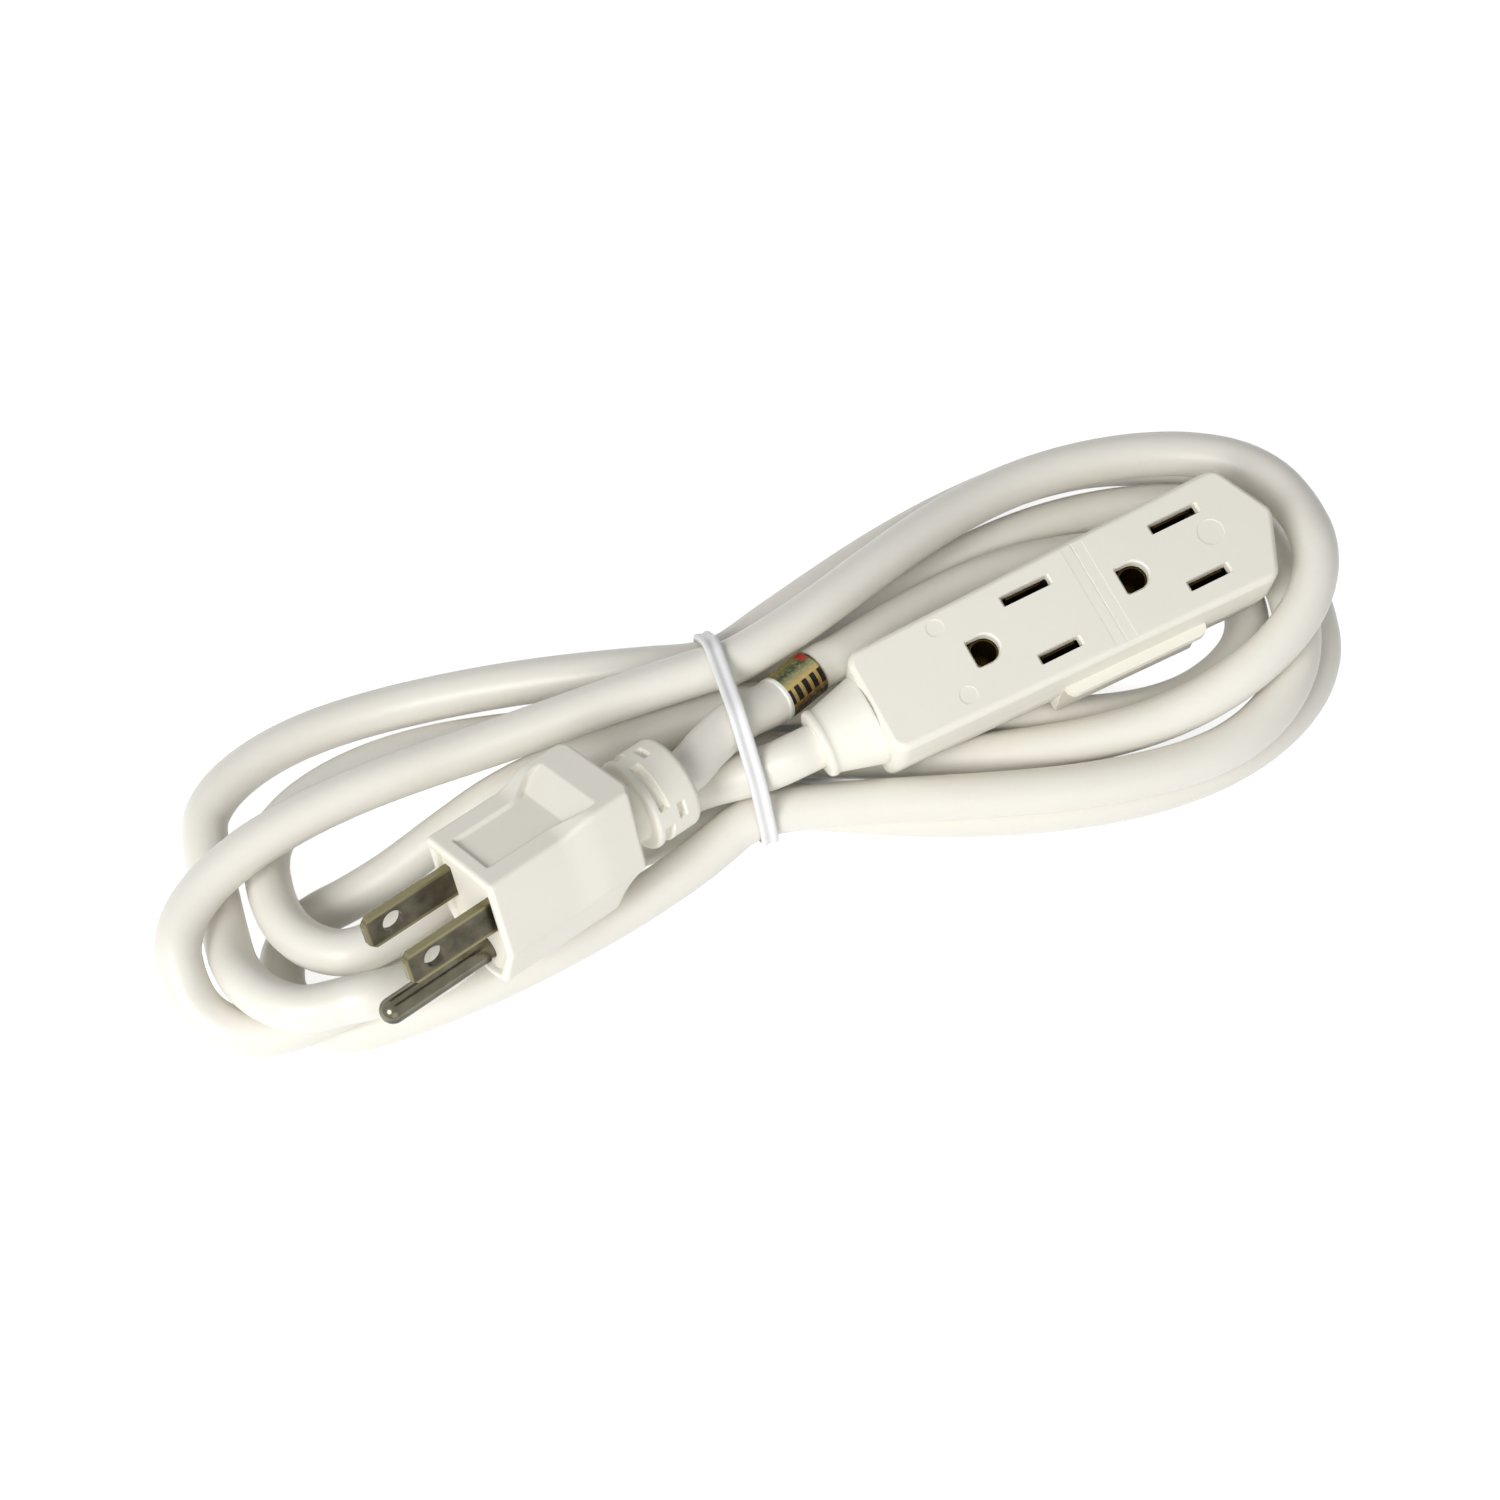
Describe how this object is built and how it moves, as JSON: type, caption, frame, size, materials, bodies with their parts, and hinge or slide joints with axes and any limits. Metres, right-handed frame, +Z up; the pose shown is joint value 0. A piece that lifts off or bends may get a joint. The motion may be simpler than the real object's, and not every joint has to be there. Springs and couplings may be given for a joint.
{
  "type": "extension cord",
  "caption": "Grounded extension cord tied in a loose flat hank, with a moulded right-hand plug and a slender outlet block with slots on both faces.",
  "frame": {"origin": "centre of the whole part's bounding box at floor level, under the tied hank", "axes": "+X along the hank towards the outlet block's tip, +Y across the hank, +Z up from the floor"},
  "size_m": [0.2272, 0.0772, 0.0525],
  "materials": {
    "moulding": "satin moulded vinyl",
    "carrier": "matt",
    "contact_brass": "rolled strip",
    "core": "matt",
    "blade_metal": "nickel-washed brass",
    "cord_vinyl": "satin vinyl",
    "label_foil": "gold foil",
    "tie_plastic": "satin",
    "wire_line": "matt",
    "wire_neutral": "matt",
    "wire_ground": "matt"
  },
  "bodies": {
    "cord_set": {"block_front_cover": "moulding", "block_rear_cover": "moulding", "block_carrier": "carrier", "line_bus": "contact_brass", "neutral_bus": "contact_brass", "ground_bus": "contact_brass", "ground_sleeve_1": "contact_brass", "ground_sleeve_2": "contact_brass", "ground_sleeve_rear": "contact_brass", "block_relief": "moulding", "block_wire_line": "wire_line", "block_wire_neutral": "wire_neutral", "block_wire_ground": "wire_ground", "plug_shell": "moulding", "plug_core": "core", "line_blade": "blade_metal", "neutral_blade": "blade_metal", "ground_pin": "blade_metal", "plug_relief": "moulding", "plug_wire_line": "wire_line", "plug_wire_neutral": "wire_neutral", "plug_wire_ground": "wire_ground", "plug_lead": "cord_vinyl", "cord_hank": "cord_vinyl", "outlet_lead": "cord_vinyl", "cord_label": "label_foil", "cord_tie": "tie_plastic", "tie_twist": "tie_plastic"}
  },
  "joints": []
}
